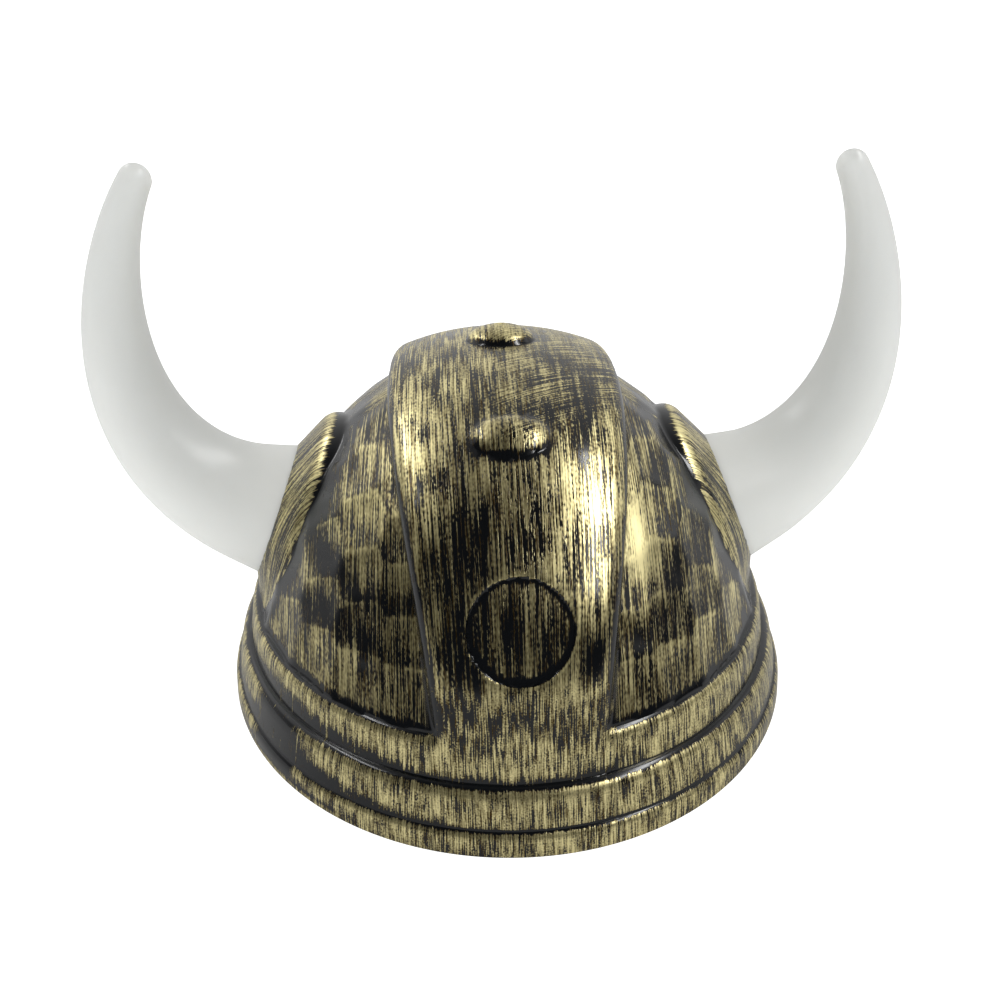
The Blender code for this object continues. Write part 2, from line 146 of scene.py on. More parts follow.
# Each ray is looked along this far in and out, and rays slant up by this at the rim and stand up at the crown
RAY_REACH = 0.034
RAY_SLANT = np.radians(40)
HALVINGS = 18
# Turns at which each row is looked over for the band's edge, one degree apart
PROBE_TURNS = np.radians(np.arange(88))
# Edges sharper than this many degrees are shaded as edges
SHARP_ANGLE = 38
# Keeps a divisor off nought
TINY = 1e-9


def rounded_max(a, b, reach):
    """The larger of two depths, with the crossing rounded over this reach."""
    blend = np.maximum(reach - np.abs(a - b), 0) / reach
    return np.maximum(a, b) + blend**2 * reach / 4


def rounded_min(a, b, reach):
    """The smaller of two depths, with the crossing filled over this reach."""
    return -rounded_max(-a, -b, reach)


def smooth_step(share):
    """Nought below 0, one above 1, and a smooth rise between."""
    share = np.clip(share, 0, 1)
    return share**2 * (3 - 2 * share)


def fade_in(place, start, length):
    """Nought up to the start, then a smooth rise to one over the length."""
    return smooth_step((place - start) / length)


def bump(place, middle, reach):
    """One at the middle and less on both sides: exp(-((place - middle) / reach)^2)."""
    return np.exp(-(((place - middle) / reach) ** 2))


def dome_depth(x, y, z, dome):
    """Distance outside a superelliptic dome: (around^p + up^p)^(1/p) - 1, over the length of its slope."""
    half_width, half_length, top, power = dome
    around = np.hypot(x / half_width, y / half_length) + TINY
    up = np.maximum(z - DOME_FOOT, 0) / (top - DOME_FOOT)
    size = (around**power + up**power) ** (1 / power)
    level = (around / size) ** (power - 1) * np.hypot(x / half_width**2, y / half_length**2) / around
    rise = (up / size) ** (power - 1) / (top - DOME_FOOT)
    return (size - 1) / np.hypot(level, rise)


def step_depth(x, y, z):
    """Distance outside the nearest rim step: an elliptic wall flared to its foot, with a rounded top edge."""
    depth = np.full(np.shape(x), 1.0)
    for foot, top, width_foot, width_top in STEPS:
        share = np.clip((z - foot) / (top - foot), *STEP_WALL_SHARES)
        half_width = width_foot + (width_top - width_foot) * share
        half_length = half_width + LENGTH_OVER_WIDTH
        around = np.hypot(x / half_width, y / half_length) + TINY
        steepness = np.hypot(x / half_width**2, y / half_length**2) / around
        depth = np.minimum(depth, rounded_max((around - 1) / steepness, z - top, STEP_ROUND))
    return depth


def flare_out(z, flare):
    """How far a foot is drawn out: the share of the way down to it, raised to the power of the curve.

    Below the foot it drops back in, by a multiple of the distance below.
    """
    low, high, far = flare
    return far * np.clip((high - z) / (high - low), 0, 1) ** FLARE_CURVE - FLARE_DROP * np.maximum(low - z, 0)


def facet_planes():
    """Middles and normals of the planes that flatten the panels' dome, a ring of them at each height."""
    half_width, half_length, top, power = PANEL_DOME
    middles = [(0.0, 0.0, top)]
    for height in FACET_ROWS:
        ring = (1 - ((height - DOME_FOOT) / (top - DOME_FOOT)) ** power) ** (1 / power)
        reached = [x for x in FACET_COLUMNS if x < FACET_COLUMNS_END * half_width * ring]
        quarter = [np.arcsin(x / half_width / ring) for x in reached]
        more = int(np.ceil((np.pi / 2 - quarter[-1]) / FACET_WIDEST_TURN))
        quarter += list(np.linspace(quarter[-1], np.pi / 2, more + 1)[1:])
        half = quarter + [np.pi - turn for turn in reversed(quarter[:-1])]
        for turn in half + [-turn for turn in half[1:-1]]:
            middles.append((half_width * ring * np.sin(turn), -half_length * ring * np.cos(turn), height))
    middles = np.array(middles)
    reach = 1e-5
    slopes = np.stack([dome_depth(*(middles + reach * axis).T, PANEL_DOME) for axis in np.eye(3)], 1)
    return middles, slopes / np.linalg.norm(slopes, axis=1, keepdims=True)


FACET_MIDDLES, FACET_NORMALS = facet_planes()


def panel_depth(places):
    """Distance outside the facets: a softened maximum over their planes, log(sum(exp(k d))) / k.

    The flare is taken off it, and a flat is dished by a smooth step of the gap from its plane to the next.
    """
    out = places @ FACET_NORMALS.T - (FACET_MIDDLES * FACET_NORMALS).sum(1)
    most = out.max(axis=-1, keepdims=True)
    near = np.exp(FACET_RIDGE_SHARPNESS * (out - most)).sum(axis=-1)
    gap = most[..., 0] - np.where(out < most, out, -1).max(axis=-1)
    dish = FACET_DISH * smooth_step(gap / FACET_DISH_GAP)
    return most[..., 0] + np.log(near) / FACET_RIDGE_SHARPNESS + dish - flare_out(places[..., 2], PANEL_FLARE)


def band_half_width(z):
    """Half the band's width at a height: it grows from the foot to the crown as a power of the way up."""
    up = np.clip((z - BAND_FOOT) / (CROWN_HEIGHT - BAND_FOOT), 0, 1)
    return BAND_HALF_WIDTH_LOW + (BAND_HALF_WIDTH_TOP - BAND_HALF_WIDTH_LOW) * up**BAND_SPREAD


def detail_frame(detail):
    """The middle of a detail on the band's front, and the directions across, up and out of the band there."""
    angle = np.radians(detail[0])
    _, half_length, top, power = BAND_DOME
    y = -half_length * np.sin(angle) ** (2 / power)
    z = (top - DOME_FOOT) * np.cos(angle) ** (2 / power)
    level = -((-y / half_length) ** (power - 1)) / half_length
    rise = (z / (top - DOME_FOOT)) ** (power - 1) / (top - DOME_FOOT)
    out = np.array((0, level, rise))
    out /= np.linalg.norm(out)
    across = np.array((1.0, 0.0, 0.0))
    return np.array((0, y, z + DOME_FOOT)), across, np.cross(out, across), out


def detail_radius(places, detail):
    """How far from a detail's middle, where 1 is its outline, and 9 on the other side of the helmet."""
    middle, across, up, out = detail_frame(detail)
    away = places - middle
    radius = np.hypot(away @ across / detail[1], away @ up / detail[2])
    return np.where(np.abs(away @ out) < DETAIL_REACH, radius, 9.0)


def band_relief(places):
    """Height of the stud and the knob above the band, less the depth of the recess and the knob's dimple."""
    stud, knob, recess = (detail_radius(places, detail) for detail in (STUD, KNOB, RECESS))
    raised = STUD[3] * np.maximum(1 - stud**2, 0) ** STUD_ROUNDNESS
    raised += KNOB[3] * np.maximum(1 - knob**2, 0) ** KNOB_ROUNDNESS
    ring = knob * KNOB[1] / DIMPLE_RADIUS
    lip, lip_middle, lip_width = DIMPLE_LIP
    dimple = DIMPLE_DEPTH * (1 - smooth_step(ring)) - lip * DIMPLE_DEPTH * bump(ring, lip_middle, lip_width)
    sunk = RECESS[3] * smooth_step((1 - recess) * RECESS[1] / RECESS_WALL + 0.5)
    return raised - sunk - dimple


def band_depth(places):
    """Distance outside the band: its dome with the details on it, cut at its half width by a rounded edge."""
    x, y, z = np.moveaxis(places, -1, 0)
    top = dome_depth(x, y, z, BAND_DOME) - band_relief(places) - flare_out(z, BAND_FLARE)
    return rounded_max(top, np.abs(x) - band_half_width(z), BAND_EDGE_ROUND)


def socket_frame(side):
    """The middle of a socket's mouth, its outward axis, its forward direction and its upward one."""
    rise, lean = SOCKET_RISE, SOCKET_LEAN
    axis = np.array((side * np.cos(rise) * np.cos(lean), -np.sin(lean), np.sin(rise) * np.cos(lean)))
    up = np.array((0, 0, 1)) - axis[2] * axis
    up /= np.linalg.norm(up)
    return SOCKET_MIDDLE * (side, 1, 1), axis, np.cross(axis, up) * side, up


def socket_place(places, side):
    """Distances forward and up from a socket's axis, and along it from the mouth."""
    middle, axis, forward, up = socket_frame(side)
    away = places - middle
    return away @ forward, away @ up, away @ axis


def socket_depth(places, side):
    """Distance outside a socket: a cone on a short cylinder, cut flat at its mouth."""
    forward, up, along = socket_place(places, side)
    across = np.hypot(forward, up)
    spread = SOCKET_FOOT_RADIUS - SOCKET_MOUTH_RADIUS
    cone = (along * spread + (across - SOCKET_MOUTH_RADIUS) * SOCKET_HEIGHT) / np.hypot(spread, SOCKET_HEIGHT)
    body = rounded_max(cone, across - SOCKET_FOOT_RADIUS, SOCKET_ROUND)
    return np.maximum(np.maximum(body, -along - SOCKET_REACH), along)


def shell_depth(places):
    """Distance outside the shell's outer surface: its parts joined with small fillets."""
    depth = rounded_min(band_depth(places), panel_depth(places), BAND_FILLET)
    sockets = np.minimum(socket_depth(places, -1), socket_depth(places, 1))
    depth = rounded_min(depth, sockets, SOCKET_FILLET)
    return rounded_min(depth, step_depth(*np.moveaxis(places, -1, 0)), STEP_FILLET)


def profile(counts):
    """Half widths and heights up the shell's side, from the rim to the crown, with each ray's angle there.

    Points on a stretch are closest at its ends, by (1 - cos) / 2. The dome goes as cos and sin of even turns.
    """
    corners = [corner for foot, top, low, high in STEPS for corner in ((low, foot), (high, top))]
    corners = np.array([*corners, PANEL_FOOT])
    corners[0, 1] = RIM_CHAMFER
    rows = [corners[:1]]
    for index, (start, end) in enumerate(zip(corners[:-1], corners[1:])):
        count = counts["ledge" if index % 2 else "wall"]
        share = (1 - np.cos(np.pi * np.arange(1, count + 1) / count)) / 2
        rows.append(start + (end - start) * share[:, None])
    half_width, foot = PANEL_FOOT
    last = np.arccos(CROWN_RADIUS / half_width)
    turn = last * np.linspace(0, 1, counts["dome"] + 1)[1:]
    rows.append(np.stack([half_width * np.cos(turn), foot + (CROWN_HEIGHT - foot) * np.sin(turn)], 1))
    inward = CROWN_RADIUS * np.linspace(1, 0, counts["crown"] + 1)[1:]
    top = foot + (CROWN_HEIGHT - foot) * np.sqrt(1 - (inward / half_width) ** 2)
    rows.append(np.stack([inward, top], 1))
    rows = np.concatenate(rows)
    raised = smooth_step(np.arctan2(rows[:, 1] - foot, rows[:, 0]) / (np.pi / 2))
    return np.column_stack([rows, RAY_SLANT + (np.pi / 2 - RAY_SLANT) * raised])


def ray_places(rows, turns, reach):
    """Places this far along every ray, on rings that are ellipses at the rim and circles near the crown."""
    half_width, height, tilt = (column[:, None] for column in rows.T)
    half_width = np.maximum(half_width + reach * np.cos(tilt), 0)
    half_length = half_width + LENGTH_OVER_WIDTH * fade_in(half_width, CROWN_RADIUS, OVAL_OVER)
    height = height + reach * np.sin(tilt)
    return np.stack([half_width * np.sin(turns), -half_length * np.cos(turns), height], -1)


def where_nought(place_at, near, far, level=0.0):
    """Places where the shell's depth is this level, between a reach within it and one outside, by halving."""
    for _ in range(HALVINGS):
        middle = (near + far) / 2
        inside = shell_depth(place_at(middle)) < level
        near, far = np.where(inside, middle, near), np.where(inside, far, middle)
    return place_at((near + far) / 2)


def surface_on(rows, turns, level=0.0):
    """Where each ray meets the surface at this depth."""
    near = np.maximum(-RAY_REACH, -rows[:, :1] / np.maximum(np.cos(rows[:, 2:]), 1e-6))
    near, far = np.broadcast_to(near, turns.shape), np.full(turns.shape, RAY_REACH)
    return where_nought(lambda reach: ray_places(rows, turns, reach), near, far, level)


def crowded(count, crowd):
    """Shares from 0 to 1, the first left out, that draw together toward 1."""
    share = np.linspace(0, 1, count + 1)[1:]
    return share * (1 - crowd) + (1 - (1 - share) ** 2) * crowd


def shell_turns(rows):
    """Turns of the columns in each row, drawn together at the band's edges and following them upward."""
    found = surface_on(rows, np.tile(PROBE_TURNS, (len(rows), 1)))
    outside = np.abs(found[..., 0]) - band_half_width(found[..., 2])
    first = np.maximum((outside > 0).argmax(axis=1), 1)
    line = np.arange(len(rows))
    low, high = outside[line, first - 1], outside[line, first]
    edge = PROBE_TURNS[first - 1] + PROBE_TURNS[1] * np.clip(-low / np.maximum(high - low, TINY), 0, 1)
    edge = np.where((outside > 0).any(axis=1), edge, PROBE_TURNS[-1])[:, None]
    front = edge * crowded(FRONT_COLUMNS, BAND_CROWDING)
    side = edge + (np.pi / 2 - edge) * (1 - crowded(SIDE_COLUMNS // 2, SIDE_CROWDING)[-2::-1])
    back = np.pi - edge * crowded(BACK_COLUMNS, BAND_CROWDING)[::-1]
    middle = np.full_like(edge, np.pi / 2)
    half = np.hstack([front, side, middle, np.pi - side[:, ::-1], back])
    return np.hstack([np.zeros_like(edge), half, 2 * middle, 2 * np.pi - half[:, ::-1]])


def gather(places, frame_there, sizes, crowd):
    """Draws the grid toward an oval outline and lays it on the surface again, so that the outline is crisp.

    A point at distance t from the outline, within the crowd distance c, goes to t^2 / c on the same side.
    """
    middle, across, up, out = frame_there
    away = places - middle
    flat = np.stack([away @ across / sizes[0], away @ up / sizes[1]], -1)
    radius = np.linalg.norm(flat, axis=-1)
    off = (radius - 1) * min(sizes)
    near = (np.abs(off) < crowd) & (np.abs(away @ out) < OUTLINE_REACH)
    moved = np.sign(off[near]) * off[near] ** 2 / crowd / min(sizes) + 1
    shift = flat[near] * (moved / radius[near] - 1)[:, None]
    start = places[near] + shift[:, :1] * sizes[0] * across + shift[:, 1:] * sizes[1] * up
    reach = np.full(len(start), LAY_REACH)
    places[near] = where_nought(lambda far: start + far[:, None] * out, -reach, reach)


def ring_quads(first, rings, columns, outward):
    """Quads between closed rings of points that follow one another from this index."""
    ring, column = np.meshgrid(np.arange(rings - 1), np.arange(columns), indexing="ij")
    beside = (column + 1) % columns
    here, above = ring * columns, (ring + 1) * columns
    quads = [here + column, here + beside, above + beside, above + column]
    return first + np.stack(quads if outward else quads[::-1], -1).reshape(-1, 4)


def fan(ring, pole, outward):
    """Triangles from a closed ring of points to the pole that closes it."""
    beside = np.roll(ring, -1)
    pole = np.full_like(ring, pole)
    return np.stack([ring, beside, pole] if outward else [beside, ring, pole], -1)


def add_piece(name, points, faces):
    """A new object in the scene from points and groups of faces."""
    mesh = bpy.data.meshes.new(name)
    mesh.from_pydata(points.tolist(), [], [face for group in faces for face in group.tolist()])
    made = bpy.data.objects.new(name, mesh)
    bpy.context.scene.collection.objects.link(made)
    return made


def smooth_shading(made):
    """Shades a piece smooth, apart from its sharp edges."""
    made.data.shade_smooth()
    made.data.set_sharp_from_angle(angle=np.radians(SHARP_ANGLE))


# Outside: rings from the rim's chamfer up to the crown, with the details' outlines drawn crisp
outer_rows = profile(OUTER_ROWS)
outer_turns = shell_turns(outer_rows)
outer = surface_on(outer_rows, outer_turns)
for detail in (RECESS, STUD):
    gather(outer, detail_frame(detail), detail[1:3], DETAIL_CROWD)
for side in (-1, 1):
    middle, axis, forward, up = socket_frame(side)
    gather(outer, (middle, forward, up, axis), (SOCKET_FOOT_RADIUS, SOCKET_FOOT_RADIUS), SOCKET_CROWD)
outer[0, :, 2] = RIM_CHAMFER

# Inside: the same surface a wall's thickness in, with half as many columns
inner_rows = profile(INNER_ROWS)
inner_turns = shell_turns(inner_rows)[:, ::2]
inner = surface_on(inner_rows, inner_turns, -SHELL_WALL)
inner[0, :, 2] = RIM_CHAMFER


def rim_ring(turns, half_width):
    """An ellipse on the table, longer than it is wide."""
    half_length = half_width + LENGTH_OVER_WIDTH
    return np.stack([half_width * np.sin(turns), -half_length * np.cos(turns), np.zeros_like(turns)], -1)


outer_rim = rim_ring(outer_turns[0], RIM_HALF_WIDTH - RIM_CHAMFER)
inner_rim = rim_ring(inner_turns[0], RIM_HALF_WIDTH - SHELL_WALL + RIM_CHAMFER)

# The rings are joined by quads, the poles by fans, and the rim's underside by triangles, two columns outside
# to one inside
columns = outer_turns.shape[1]
points = np.concatenate([outer_rim, outer[:-1].reshape(-1, 3), outer[-1, :1]])
outer_rings, outer_pole = len(outer), len(points) - 1
inner_first = len(points)
points = np.concatenate([points, inner_rim, inner[:-1].reshape(-1, 3), inner[-1, :1]])
inner_rings, inner_pole = len(inner), len(points) - 1
even = np.arange(0, columns, 2)
odd, later = even + 1, (even + 2) % columns
within = inner_first + even // 2
beside = inner_first + later // 2
shell = add_piece(
    "helmet_shell",
    points,
    [
        ring_quads(0, outer_rings, columns, True),
        fan(np.arange(columns) + (outer_rings - 1) * columns, outer_pole, True),
        ring_quads(inner_first, inner_rings, columns // 2, False),
        fan(np.arange(columns // 2) + inner_first + (inner_rings - 1) * columns // 2, inner_pole, False),
        np.stack([odd, even, within], -1),
        np.stack([odd, within, beside], -1),
        np.stack([later, odd, beside], -1),
    ],
)

# The holes that the horns pass through
for side in (-1, 1):
    middle, axis, _, _ = socket_frame(side)
    drill = bmesh.new()
    bmesh.ops.create_cone(
        drill,
        cap_ends=True,
        segments=HOLE_SIDES,
        radius1=SOCKET_MOUTH_RADIUS + FIT_GAP,
        radius2=SOCKET_MOUTH_RADIUS + FIT_GAP,
        depth=HOLE_DEPTH,
        matrix=Matrix.Translation(middle) @ Vector(axis).to_track_quat("Z", "Y").to_matrix().to_4x4(),
    )
    cutter_mesh = bpy.data.meshes.new("drill")
    drill.to_mesh(cutter_mesh)
    drill.free()
    cutter = bpy.data.objects.new("drill", cutter_mesh)
    bpy.context.scene.collection.objects.link(cutter)
    hole = shell.modifiers.new("hole", "BOOLEAN")
    hole.operation = "DIFFERENCE"
    hole.object = cutter
    hole.solver = "EXACT"
    cut = bpy.data.meshes.new_from_object(shell.evaluated_get(bpy.context.evaluated_depsgraph_get()))
    shell.modifiers.remove(hole)
    shell.data = cut
    bpy.data.objects.remove(cutter)
smooth_shading(shell)

# Where each point is on the shell, in millimetres, and how far it is within the band and within a socket
SIDE_TURN = np.radians(75)
SOCKET_SIDE = 16
count = len(shell.data.vertices)
spots = np.empty(count * 3)
shell.data.vertices.foreach_get("co", spots)
spots = spots.reshape(-1, 3)
x, y, z = spots.T / MM
turn = np.arctan2(x / RIM_HALF_WIDTH, -y / (RIM_HALF_WIDTH + LENGTH_OVER_WIDTH))
half_width = band_half_width(spots[:, 2]) / MM
on_band = half_width - np.abs(x)
boss = np.stack([socket_place(spots, side) for side in (-1, 1)]) / MM
boss = np.where(x < 0, boss[0], boss[1])
on_boss = np.minimum(SOCKET_FOOT_RADIUS / MM - np.hypot(boss[0], boss[1]), boss[2] + SOCKET_SIDE)
band_foot, ledge = STEPS[-1][0] / MM, STEPS[-1][1] / MM

# Where each point is on its flat: how far its row of flats stands above the next row up and the next row down
NO_ROW = -9.0
out = (spots @ FACET_NORMALS.T - (FACET_MIDDLES * FACET_NORMALS).sum(1)) / MM
heights = np.unique(FACET_MIDDLES[:, 2])
row_out = np.stack([out[:, FACET_MIDDLES[:, 2] == height].max(axis=1) for height in heights], 1)
row = row_out.argmax(axis=1)[:, None]
row_out = np.pad(row_out, ((0, 0), (1, 1)), constant_values=NO_ROW)
gap_down, own, gap_up = (np.take_along_axis(row_out, row + step, axis=1)[:, 0] for step in (0, 1, 2))
gap_down, gap_up = own - gap_down, own - gap_up
down_flat = gap_up / (gap_up + gap_down)

# The brush's way at each point, as two places across its strokes and one along them: straight down each part,
# square to the rim on the steps, and down the side of the helmet on the sockets. Its length is that of a turn
# round a radius in millimetres, on a shape so many times as long as it is wide
PANEL_STROKE_RADIUS, PANEL_STROKE_LENGTH = 105, 1.3
BAND_STROKE_RADIUS, BAND_STROKE_LENGTH = 120, 1.13
STEP_STROKE_RADII = (100.0, 115.0)
STEP_STROKES_SHORTER = 2.4
# The band's foot drops steeply below this height, so its strokes run this much further for each millimetre
BAND_FOOT_HEIGHT, BAND_FOOT_RUN = 46, 1.3
# The band's strokes spread with its width, to this power
BAND_STROKES_SPREAD = 0.4
# Places across the strokes that keep the parts' patterns apart
PANEL_APART, SIDE_APART, BOSS_APART, BAND_APART = 60, 150, 200, -250

up_panel = PANEL_STROKE_RADIUS * np.arctan2(z, np.hypot(x, y / PANEL_STROKE_LENGTH))
up_band = BAND_STROKE_RADIUS * np.arctan2(z, -y / BAND_STROKE_LENGTH)
up_band += BAND_FOOT_RUN * np.sign(y) * np.maximum(BAND_FOOT_HEIGHT - z, 0)
way = np.column_stack([x, PANEL_APART * np.sign(y), up_panel])
on_side = np.arctan2(np.abs(x) / PANEL_DOME[0], np.abs(y) / PANEL_DOME[1]) > SIDE_TURN
down_side = np.column_stack([SIDE_APART * np.sign(x), y, up_panel])
across_rim, along_rim = STEP_STROKE_RADII
round_rim = np.column_stack([across_rim * np.sin(turn), -along_rim * np.cos(turn), STEP_STROKES_SHORTER * z])
down_boss = np.column_stack([BOSS_APART * np.sign(x), y, boss[1]])
narrowed = x * (BAND_HALF_WIDTH_LOW / MM / half_width) ** BAND_STROKES_SPREAD
down_band = np.column_stack([narrowed, np.full_like(y, BAND_APART), up_band])
for where, there in (
    (on_side, down_side),
    (on_boss > 0, down_boss),
    (z < ledge, round_rim),
    (on_band > 0, down_band),
):
    way = np.where(where[:, None], there, way)

# How much gold the brush left, from 0, bare, to 1. On the panels it caught the ridge at the top of each flat,
# ran out on the way down it, caught the ridge at its foot a little, and missed the hollow round each socket
FLAT_GOLD, FLAT_LOSS, RIDGE_GAIN, FOOT_RIDGE_GAIN = 0.58, 0.20, 0.24, 0.16
BESIDE_BOSS_LOSS = 0.45
load = FLAT_GOLD - FLAT_LOSS * fade_in(down_flat, 0.25, 0.6) + RIDGE_GAIN * bump(gap_up, 0, 0.20)
load += FOOT_RIDGE_GAIN * bump(gap_down, 0, 0.08)
load *= fade_in(z - ledge, 0.6, 2.0)
load -= BESIDE_BOSS_LOSS * fade_in(on_boss, -10, 5) * (on_boss < 0) * (y < 0)

# On the sockets it caught the crest, and left the wall below it bare
BOSS_GOLD, CREST_GAIN, BOSS_WALL_LOSS = 0.58, 0.42, 0.8
boss_load = (BOSS_GOLD + CREST_GAIN * bump(on_boss, 1.6, 1.2)) * fade_in(on_boss, 0.2, 1.0)
load = np.where((on_boss > -0.3) & (z > ledge), boss_load, load)
load -= BOSS_WALL_LOSS * bump(on_boss, -0.6, 0.9) * (z > ledge)

# On each step it started at the ridge and ran dry above the seam, sooner at the left and at the right in
# front. It missed one place on the left and each step's flat top, and caught the foot of the lowest step
STEP_GOLD, STEP_RIDGE_GAIN, RIGHT_LOSS, STEP_TOP_LOSS = 0.70, 0.25, 0.10, 0.35
STEP_RUN, LEFT_SHORTER, RIGHT_SHORTER = 0.92, 0.48, 0.15
MISSED_LOSS, MISSED_TURN, MISSED_REACH = 1.1, -0.87, 0.11
STEP_FOOT_GOLD, STEP_FOOT_HEIGHT = 0.6, 2
run = STEP_RUN - LEFT_SHORTER * bump(turn, -0.85, 0.45) - RIGHT_SHORTER * bump(turn, 1.2, 0.4)
missed = MISSED_LOSS * np.exp(-(((turn - MISSED_TURN) / MISSED_REACH) ** 4))
right_loss = RIGHT_LOSS * fade_in(turn, 0.5, 0.4) * (y < 0)
for foot, top, _, _ in STEPS:
    foot, top = foot / MM, top / MM
    down = (top - z) / (top - foot)
    wall = STEP_GOLD + STEP_RIDGE_GAIN * bump(down, 0, 0.20) - missed * (top < ledge) - right_loss
    wall *= 1 - fade_in(down, run, 0.25)
    below_top = fade_in(top - z, 0.25, 1.0)
    wall = wall * below_top - STEP_TOP_LOSS * (1 - below_top)
    load = np.where((z >= foot) & (z < top + 0.3) & ((on_band < 0) | (top < ledge)), wall, load)
load = np.where(z < STEP_FOOT_HEIGHT, np.maximum(load, STEP_FOOT_GOLD), load)

# On the band it ran from the crown to the seam of the middle step, and missed the rounded edges
BAND_GOLD, BAND_FOOT_GOLD = 0.65, 0.70
band_load = BAND_GOLD * fade_in(on_band, 1.5, 1.8)
band_load = np.where(z < ledge, BAND_FOOT_GOLD * fade_in(z - band_foot, 0.3, 2.2), band_load)
load = np.where((on_band > -0.2) & (z >= band_foot), band_load, load)

# Round the details: a dark ring inside the recess, wider at its foot, with a bright lip round it, and a bare
# crescent under the stud and the knob
RECESS_LOSS, RECESS_RING_LOSS, RECESS_LIP_GAIN = 0.17, 0.9, 0.4
RECESS_RING, RECESS_RING_WIDER = 0.3, 1.3
DETAIL_RING_LOSS, DETAIL_CRESCENT_LOSS, DETAIL_TOP_GAIN = 0.15, 0.75, 0.12
middle, _, up_way, _ = detail_frame(RECESS)
recess = (1 - detail_radius(spots, RECESS)) * RECESS[1] / MM
ring_end = RECESS_RING + RECESS_RING_WIDER * smooth_step(-((spots - middle) @ up_way) / RECESS[1] + 0.2)
load -= RECESS_LOSS * smooth_step(recess / 0.4 + 0.5)
load -= RECESS_RING_LOSS * fade_in(recess, -0.15, 0.3) * (1 - fade_in(recess, ring_end, 0.9))
load += RECESS_LIP_GAIN * bump(recess, -0.45, 0.3)
for detail in (STUD, KNOB):
    middle, _, up_way, _ = detail_frame(detail)
    outline = (detail_radius(spots, detail) - 1) * detail[2] / MM
    below = smooth_step(-((spots - middle) @ up_way) / detail[2] + 0.1)
    load -= (DETAIL_RING_LOSS + DETAIL_CRESCENT_LOSS * below) * bump(outline, 0.3, 0.8)
    load += DETAIL_TOP_GAIN * (outline < -0.8)

# Where the brush left more or less gold on the front, and on the right column of flats beside the band more
# gold that is partly a painted highlight: place across and height, reach of each, and change
TOUCH_BACK, TOUCH_FADE = 20, 40
GOLD_TOUCHES_AND_HIGHLIGHT = (
    (-24, 104, 16, 12, -0.03),
    (20, 106, 18, 9, -0.20),
    (21, 90, 8, 12, 0.12),
    (-4, 84, 14, 9, -0.06),
    (-17, 62, 7, 24, -0.42),
    (0, 57, 13, 11, -0.16),
    (19, 51, 3, 5, -0.65),
    (-2, 36, 26, 6, -0.13),
    (-40, 92, 8, 6, 0.10),
    (-44, 80, 8, 4, 0.16),
    (-54, 63, 6.5, 4, -0.50),
    (-44, 58, 6, 2.5, -0.30),
    (-54, 51, 9, 4.5, -0.38),
    (-41, 48, 8, 3.5, -0.12),
    (-41, 67, 8, 5, 0.12),
    (-46, 36, 26, 4, 0.06),
    # Partly real paint and partly a painted highlight: more gold here stands in for the lamp's reflection on
    # these flats
    (36, 74, 5, 11, 0.80),
    (36, 51, 6, 4, -0.36),
    (52, 58, 8, 7, -0.22),
    (48, 44, 10, 4, 0.10),
    (76, 34, 1.2, 1.0, -1.20),
)
for across, height, reach_across, reach_up, change in GOLD_TOUCHES_AND_HIGHLIGHT:
    touch = bump(x, across, reach_across) * bump(z, height, reach_up)
    load += change * touch * smooth_step((TOUCH_BACK - y) / TOUCH_FADE)

# The inside is bare. Slanting strokes cross the others over the band's top on the right, as far back as this
INSIDE_GOLD = -3.0
CROSSED_BACK = 30
inside = shell_depth(spots) < -SHELL_WALL / 3
fields = {
    "brush_way": way,
    "gold_load_and_highlight": np.where(inside, INSIDE_GOLD, load),
    "crossed": fade_in(x, -12, 22) * fade_in(z, 99, 8) * (on_band > 0) * (y < CROSSED_BACK),
}
for name, values in fields.items():
    vector = values.ndim == 2
    field = shell.data.attributes.new(name, "FLOAT_VECTOR" if vector else "FLOAT", "POINT")
    field.data.foreach_set("vector" if vector else "value", np.ascontiguousarray(values, np.float32).ravel())


def linear(colour):
    """An sRGB hex colour as the linear red, green, blue and alpha that a shader takes."""
    parts = np.array([int(colour[at : at + 2], 16) / 255 for at in (1, 3, 5)])
    return (*np.where(parts <= 0.04045, parts / 12.92, ((parts + 0.055) / 1.055) ** 2.4), 1.0)


def add_node(tree, kind, inputs, output=0, **settings):
    """An output of a new node with these settings, each input set to a value or linked to another output."""
    made = tree.nodes.new("ShaderNode" + kind)
    for name, value in settings.items():
        setattr(made, name, value)
    for name, value in inputs.items():
        if isinstance(value, bpy.types.NodeSocket):
            tree.links.new(value, made.inputs[name])
        else:
            made.inputs[name].default_value = value
    return made.outputs[output] if len(made.outputs) else made


# Gold dry-brushed over glossy black styrene. Bristles leave fine parallel lines that start raggedly at each
# raised edge and fade below it. Hollows, ledges and seams stay bare: black, smooth and sharply reflecting.

# Each kind of mark: size across and along in millimetres, the noise's detail, and its weight in the dryness.
# A real bristle's line is about 0.1 mm wide, and the bristles and hairs are drawn coarser so that they show
MARKS = {
    "bristles": (0.38, 20.0, 1.0, 2.0),
    "hairs": (0.26, 8.0, 0.0, 1.0),
    "streaks": (1.2, 30.0, 1.0, 1.0),
    "patches": (7.0, 13.0, 2.0, 1.0),
    "grains": (0.50, 1.2, 0.0, 0.7),
}
MARK_ROUGHNESS = 0.6
CROSS_TURN = np.radians(-58)
MIDDLE_DRYNESS = 0.5
# Gold starts and is whole, and is thin and thick, where the load is more than the dryness by this much
GOLD_EDGE = (-0.10, 0.12)
GOLD_DEPTH = (0.60, 1.45)
HAIRS_IN_DEPTH = 1.5
BLACK = "#06080b"
GOLD = "#f6e9ae"
GOLD_THIN = "#443416"
GOLD_METAL = 0.93
GOLD_ROUGH = 0.34
BLACK_ROUGH = 0.16
FILM_MM = 0.05

